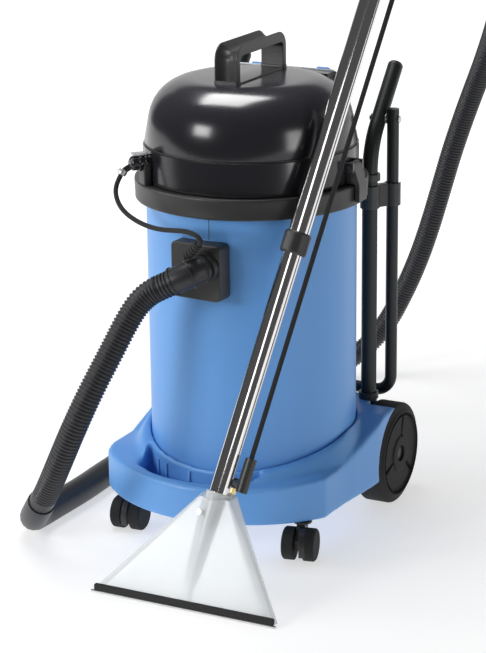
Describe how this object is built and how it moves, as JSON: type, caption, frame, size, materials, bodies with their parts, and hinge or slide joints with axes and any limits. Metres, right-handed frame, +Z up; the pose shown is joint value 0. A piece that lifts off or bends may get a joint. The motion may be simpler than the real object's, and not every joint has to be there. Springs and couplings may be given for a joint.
{
  "type": "carpet cleaner machine",
  "caption": "Wheeled tub spray-extraction carpet cleaner with lift-off motor head, folding push handle, suction hose and a leaning two-part wand with a clear fishtail floor tool.",
  "frame": {"origin": "on the floor, on the axis of the tub", "axes": "+Z up along the tub's axis, -Y to the front where the suction port and the castors are, +X to the side where the wand leans"},
  "size_m": [0.6115, 1.2395, 1.1087],
  "materials": {
    "blue_plastic": "satin",
    "black_gloss": "gloss",
    "black_plastic": "satin",
    "black_rubber": "matt",
    "hose_rubber": "satin",
    "black_paint": "satin",
    "zinc_steel": "satin",
    "chrome": "polished",
    "pale_plastic": "satin",
    "clear_plastic": "gloss",
    "brass": "satin",
    "aluminium": "satin",
    "tank_plastic": "satin",
    "motor_plastic": "matt",
    "rocker_plastic": "gloss"
  },
  "bodies": {
    "chassis": {"base": "blue_plastic", "drum": "blue_plastic", "rim_band": "black_plastic", "inlet_plate": "black_plastic", "inlet_cuff": "black_plastic", "tube_boot": "black_rubber", "post_left": "black_paint", "post_right": "black_paint", "post_ferrules": "black_plastic", "horn_caps": "black_plastic", "post_brackets": "black_plastic", "handle_clips": "black_plastic", "pivot_bolts": "zinc_steel", "rear_axle": "zinc_steel", "axle_caps": "black_plastic", "supply_coupling": "black_plastic", "solution_tank": "tank_plastic", "pump": "motor_plastic", "hose_front": "hose_rubber", "hose_floor": "hose_rubber", "hose_rear": "hose_rubber", "supply_tube": "black_rubber"},
    "coupling_lever": {"coupling_lever": "zinc_steel"},
    "head": {"head_dome": "black_gloss", "head_skirt": "black_gloss", "head_handle": "black_plastic", "control_box": "black_gloss", "control_panel": "pale_plastic", "vac_motors": "motor_plastic", "motor_plate": "black_plastic", "float_cage": "tank_plastic", "float_ball": "tank_plastic", "head_gasket": "black_rubber"},
    "rocker_vac": {"rocker_vac": "rocker_plastic"},
    "rocker_pump": {"rocker_pump": "rocker_plastic"},
    "latch_left": {"latch_left": "black_plastic"},
    "latch_right": {"latch_right": "black_plastic"},
    "push_handle": {"push_handle": "black_paint"},
    "wheel_left": {"wheel_left": "black_rubber"},
    "wheel_right": {"wheel_right": "black_rubber"},
    "castor_left": {"castor_fork_left": "black_plastic"},
    "castor_right": {"castor_fork_right": "black_plastic"},
    "castor_wheels_left": {"castor_wheels_left": "black_rubber"},
    "castor_wheels_right": {"castor_wheels_right": "black_rubber"},
    "wand": {"wand_lower": "chrome", "wand_upper": "chrome", "wand_collar": "black_plastic", "tool_body": "clear_plastic", "tool_lip": "aluminium", "tool_squeegee": "black_rubber", "tool_screw": "zinc_steel", "spray_valve": "black_plastic", "brass_nut": "brass", "spray_jet": "brass", "spray_tube": "black_rubber", "trigger_valve": "black_plastic", "wand_cuff": "black_rubber"},
    "trigger": {"trigger": "black_plastic"}
  },
  "joints": [
    {"name": "push_handle_fold", "type": "hinge", "parent": "chassis", "child": "push_handle", "pos_m": [0, 0.19825, 0.681], "axis": [1, 0, 0], "range_deg": [0, 145]},
    {"name": "wheel_left_spin", "type": "hinge", "parent": "chassis", "child": "wheel_left", "pos_m": [0.1865, 0.156, 0.09], "axis": [1, 0, 0], "continuous": true},
    {"name": "wheel_right_spin", "type": "hinge", "parent": "chassis", "child": "wheel_right", "pos_m": [-0.1865, 0.156, 0.09], "axis": [1, 0, 0], "continuous": true},
    {"name": "castor_left_swivel", "type": "hinge", "parent": "chassis", "child": "castor_left", "pos_m": [0.162, -0.143, 0.065], "axis": [0, 0, 1], "continuous": true},
    {"name": "castor_right_swivel", "type": "hinge", "parent": "chassis", "child": "castor_right", "pos_m": [-0.162, -0.143, 0.065], "axis": [0, 0, 1], "continuous": true},
    {"name": "castor_left_spin", "type": "hinge", "parent": "castor_left", "child": "castor_wheels_left", "pos_m": [0.16553, -0.15963, 0.028], "axis": [0.9781, 0.2079, 0], "continuous": true},
    {"name": "castor_right_spin", "type": "hinge", "parent": "castor_right", "child": "castor_wheels_right", "pos_m": [-0.16052, -0.15994, 0.028], "axis": [0.9962, 0.0872, 0], "continuous": true},
    {"name": "head_lift", "type": "slide", "parent": "chassis", "child": "head", "axis": [0, 0, 1], "range_m": [0, 0.12]},
    {"name": "latch_left_swing", "type": "hinge", "parent": "head", "child": "latch_left", "pos_m": [0.189, 0, 0.642], "axis": [0, -1, 0], "range_deg": [0, 50]},
    {"name": "latch_right_swing", "type": "hinge", "parent": "head", "child": "latch_right", "pos_m": [-0.189, 0, 0.642], "axis": [0, 1, 0], "range_deg": [0, 50]},
    {"name": "coupling_lever_press", "type": "hinge", "parent": "chassis", "child": "coupling_lever", "pos_m": [-0.12176, -0.14007, 0.6614], "axis": [-0.7547, 0.6561, 0], "range_deg": [0, 20], "stiffness_Nm_per_rad": 0.02, "springref_deg": -17.19},
    {"name": "rocker_vac_tilt", "type": "hinge", "parent": "head", "child": "rocker_vac", "pos_m": [0.062, 0.16285, 0.75681], "axis": [-1, 0, 0], "range_deg": [0, 14]},
    {"name": "rocker_pump_tilt", "type": "hinge", "parent": "head", "child": "rocker_pump", "pos_m": [-0.062, 0.16285, 0.75681], "axis": [-1, 0, 0], "range_deg": [0, 14]},
    {"name": "wand_lean", "type": "hinge", "parent": "chassis", "child": "wand", "pos_m": [0.0826, -0.4254, 0], "axis": [1, 0, 0], "range_deg": [0, 15], "deforming": ["hose_rear"]},
    {"name": "trigger_squeeze", "type": "hinge", "parent": "wand", "child": "trigger", "pos_m": [0.25921, 0.0433, 0.96909], "axis": [0.2898, -0.8866, 0.3606], "range_deg": [0, 10], "stiffness_Nm_per_rad": 0.4, "springref_deg": -14.32}
  ]
}
